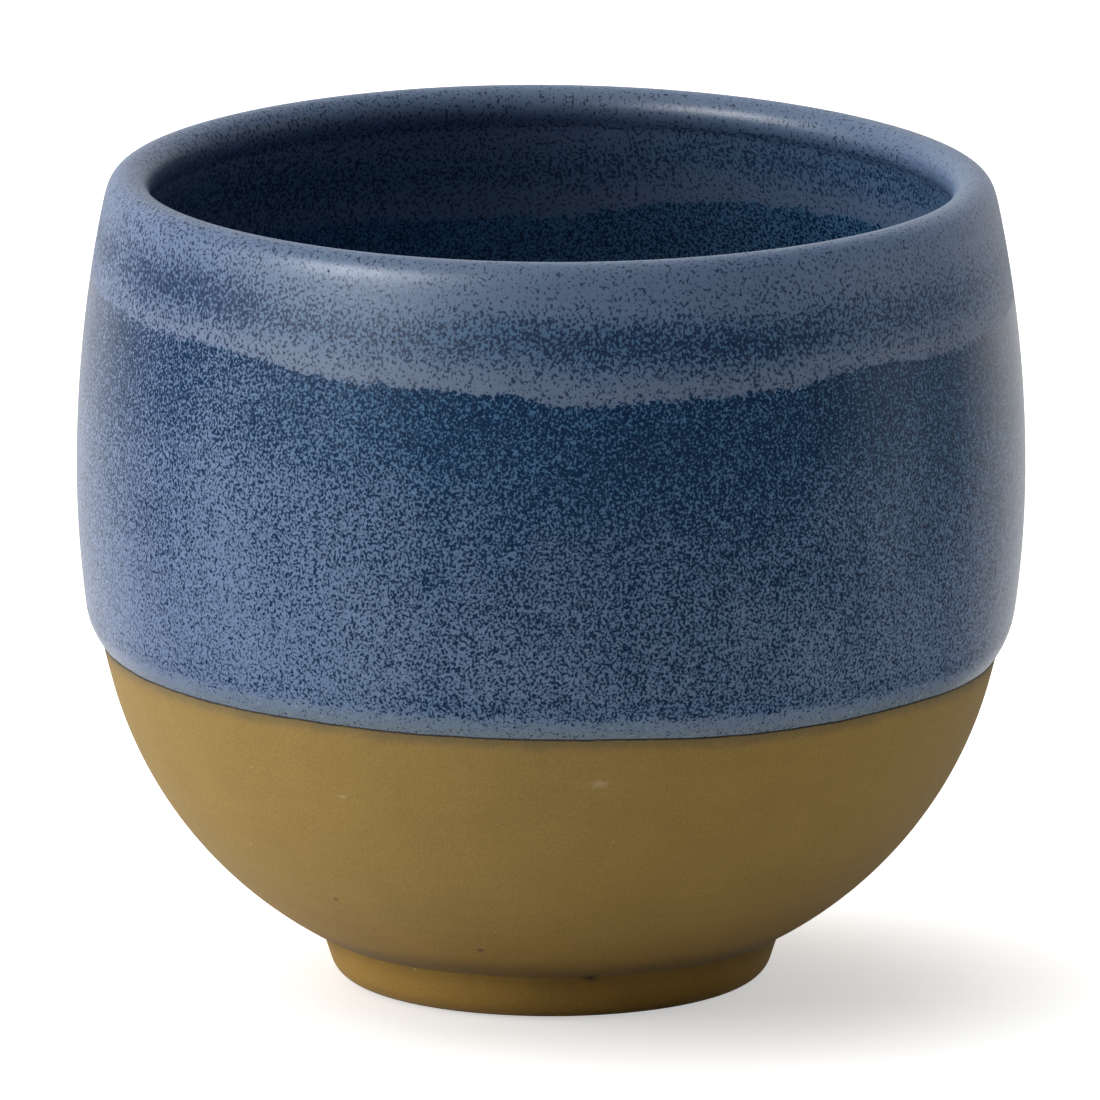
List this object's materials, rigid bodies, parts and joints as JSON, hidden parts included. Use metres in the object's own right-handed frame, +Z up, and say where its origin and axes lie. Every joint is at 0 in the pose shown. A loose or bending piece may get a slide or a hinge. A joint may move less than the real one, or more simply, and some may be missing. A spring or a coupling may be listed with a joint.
{
  "type": "tea cup",
  "caption": "Round stoneware tea cup without a handle, on a foot ring, with a speckled blue glaze over bare clay and a second dip of glaze over the lip.",
  "frame": {"origin": "centre of the plane the cup rests on, on its axis", "axes": "+Z up along the cup's axis, out of its mouth; -Y towards the viewer in the picture"},
  "size_m": [0.086, 0.086, 0.0742],
  "materials": {
    "stoneware": "matt, unglazed, fine grain",
    "blue_glaze": "satin, speckled",
    "rim_glaze": "satin, speckled"
  },
  "bodies": {
    "root": {"clay_bowl": "stoneware", "foot_ring": "stoneware", "inner_glaze": "blue_glaze", "outer_glaze": "blue_glaze", "rim_glaze": "rim_glaze"}
  },
  "joints": []
}
